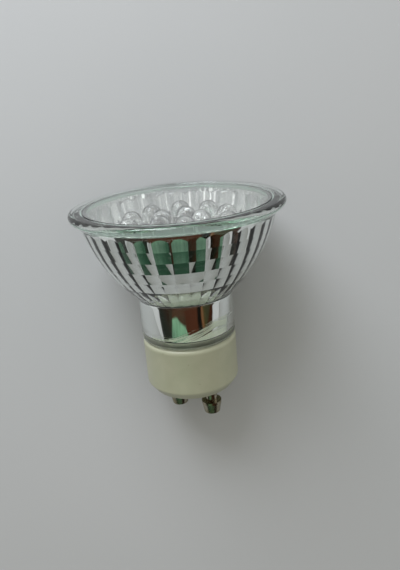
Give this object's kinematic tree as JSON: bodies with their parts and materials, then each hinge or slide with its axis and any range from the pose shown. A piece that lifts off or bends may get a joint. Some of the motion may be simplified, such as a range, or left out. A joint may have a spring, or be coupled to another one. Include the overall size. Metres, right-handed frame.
{
  "type": "led reflector bulb",
  "caption": "Spotlight bulb: a fluted, silvered glass reflector with clear round LEDs behind a flat lens, on a ceramic cap with twist-lock pins.",
  "frame": {"origin": "middle of the two pins, on the flat end face of the ceramic cap", "axes": "+Z along the lamp axis towards the front lens; the two pins stand on the X axis and point to -Z"},
  "size_m": [0.05, 0.05, 0.0544],
  "materials": {
    "pressed_glass": "clear pressed glass, silvered inside",
    "lens_glass": "clear flat glass",
    "clear_silicone": "clear silicone",
    "white_silicone": "satin",
    "clear_epoxy": "clear, polished",
    "lead_frame": "silver plated",
    "white_board": "white solder mask",
    "green_board": "green solder mask",
    "sleeve_plastic": "satin",
    "film_case": "satin",
    "can_sleeve": "shrunk sleeve",
    "diode_epoxy": "moulded",
    "resistor_paint": "lacquered",
    "live_insulation": "extruded",
    "neutral_insulation": "extruded",
    "led_insulation": "extruded",
    "steatite": "unglazed, smooth",
    "cement": "cast",
    "nickel_brass": "nickel plated brass"
  },
  "bodies": {
    "root": {"reflector_glass": "pressed_glass", "front_lens": "lens_glass", "lens_sealant": "clear_silicone", "led_board": "white_board", "board_adhesive": "white_silicone", "insulating_sleeve": "sleeve_plastic", "driver_board": "green_board", "film_capacitor": "film_case", "smoothing_capacitor": "can_sleeve", "bleed_resistor": "resistor_paint", "inrush_resistor": "resistor_paint", "live_wire": "live_insulation", "neutral_wire": "neutral_insulation", "led_wire_positive": "led_insulation", "led_wire_negative": "led_insulation", "ceramic_cap": "steatite", "neck_cement": "cement", "contact_pin_right": "nickel_brass", "contact_pin_left": "nickel_brass", "rectifier_diode_1": "diode_epoxy", "rectifier_diode_2": "diode_epoxy", "rectifier_diode_3": "diode_epoxy", "rectifier_diode_4": "diode_epoxy", "led_lens_01": "clear_epoxy", "led_leads_01": "lead_frame", "led_lens_02": "clear_epoxy", "led_leads_02": "lead_frame", "led_lens_03": "clear_epoxy", "led_leads_03": "lead_frame", "led_lens_04": "clear_epoxy", "led_leads_04": "lead_frame", "led_lens_05": "clear_epoxy", "led_leads_05": "lead_frame", "led_lens_06": "clear_epoxy", "led_leads_06": "lead_frame", "led_lens_07": "clear_epoxy", "led_leads_07": "lead_frame", "led_lens_08": "clear_epoxy", "led_leads_08": "lead_frame", "led_lens_09": "clear_epoxy", "led_leads_09": "lead_frame", "led_lens_10": "clear_epoxy", "led_leads_10": "lead_frame", "led_lens_11": "clear_epoxy", "led_leads_11": "lead_frame", "led_lens_12": "clear_epoxy", "led_leads_12": "lead_frame", "led_lens_13": "clear_epoxy", "led_leads_13": "lead_frame", "led_lens_14": "clear_epoxy", "led_leads_14": "lead_frame", "led_lens_15": "clear_epoxy", "led_leads_15": "lead_frame"}
  },
  "joints": []
}
